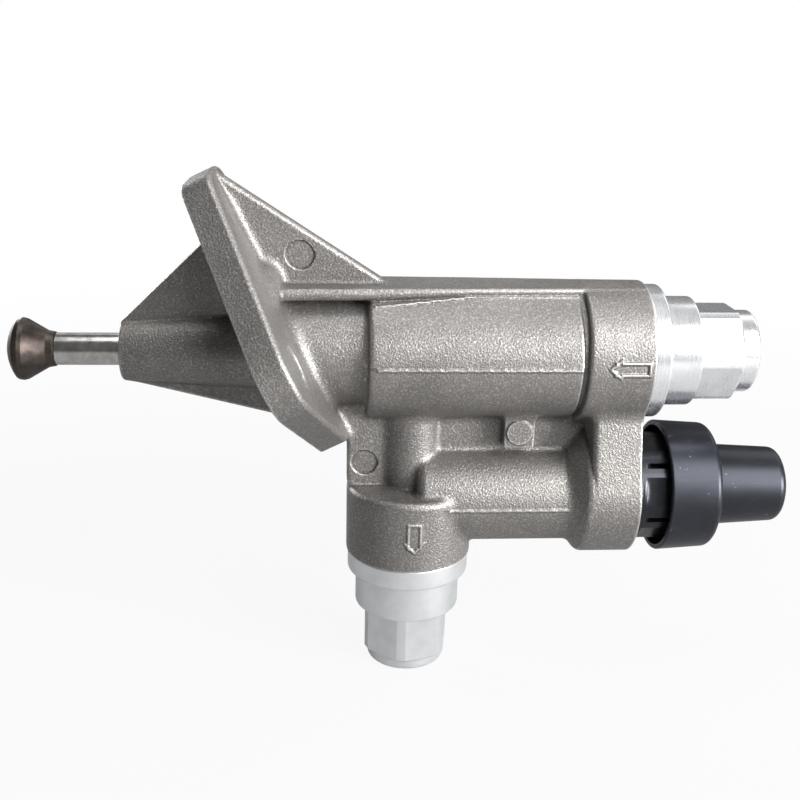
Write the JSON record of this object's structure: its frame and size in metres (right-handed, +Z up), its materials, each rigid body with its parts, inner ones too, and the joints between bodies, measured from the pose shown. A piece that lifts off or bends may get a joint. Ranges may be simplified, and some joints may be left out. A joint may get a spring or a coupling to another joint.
{
  "type": "hand primer pump",
  "caption": "Cam-driven fuel lift pump with a tilted two-bolt flange, a sprung plunger, a push-knob hand primer and turned inlet and outlet fittings.",
  "frame": {"origin": "where the plunger's axis crosses the mounting face, midway between the two bolt holes", "axes": "+X along the plunger towards the inlet fitting, +Z up, away from the outlet, +Y across the bolt line"},
  "size_m": [0.236, 0.096, 0.1552],
  "materials": {
    "casting": "fine-grained die casting",
    "turned_aluminium": "bright turned",
    "polished_steel": "ground and polished",
    "hardened_steel": "brown heat-treated steel",
    "steel": "zinc plated",
    "spring_steel": "drawn spring wire",
    "bronze": "sintered bronze",
    "housing_plastic": "glossy black moulding",
    "knob_plastic": "satin black moulding",
    "valve_plastic": "dark moulding",
    "seal_rubber": "moulded fuel-proof rubber"
  },
  "bodies": {
    "casting": {"pump_body": "casting", "nose_bushing": "bronze", "rod_seal": "seal_rubber", "seal_washer": "steel", "seal_circlip": "spring_steel", "piston_spring": "spring_steel", "inlet_fitting": "turned_aluminium", "inlet_o_ring": "seal_rubber", "inlet_valve_spring": "spring_steel", "inlet_valve_cage": "bronze", "outlet_fitting": "turned_aluminium", "outlet_o_ring": "seal_rubber", "outlet_valve_seat": "bronze", "outlet_valve_spring": "spring_steel", "primer_housing": "housing_plastic", "housing_o_ring": "seal_rubber", "stem_seal": "seal_rubber", "primer_spring": "spring_steel"},
    "plunger": {"plunger_rod": "polished_steel", "tappet_head": "hardened_steel", "piston": "turned_aluminium", "piston_ring": "seal_rubber", "piston_nut": "steel"},
    "inlet_valve": {"inlet_valve_disc": "valve_plastic"},
    "outlet_valve": {"outlet_valve_disc": "valve_plastic"},
    "primer": {"primer_knob": "knob_plastic", "primer_stem": "polished_steel", "primer_piston_seal": "seal_rubber"}
  },
  "joints": [
    {"name": "plunger_stroke", "type": "slide", "parent": "casting", "child": "plunger", "axis": [1, 0, 0], "range_m": [0, 0.01], "stiffness_N_per_m": 1500, "springref_m": -0.02, "deforming": ["piston_spring"]},
    {"name": "inlet_lift", "type": "slide", "parent": "casting", "child": "inlet_valve", "axis": [-1, 0, 0], "range_m": [0, 0.002], "stiffness_N_per_m": 60, "springref_m": -0.003, "deforming": ["inlet_valve_spring"]},
    {"name": "outlet_lift", "type": "slide", "parent": "casting", "child": "outlet_valve", "axis": [0, 0, -1], "range_m": [0, 0.002], "stiffness_N_per_m": 60, "springref_m": -0.003, "deforming": ["outlet_valve_spring"]},
    {"name": "primer_push", "type": "slide", "parent": "casting", "child": "primer", "axis": [-1, 0, 0], "range_m": [0, 0.0085], "stiffness_N_per_m": 700, "springref_m": -0.012, "deforming": ["primer_spring"]}
  ]
}
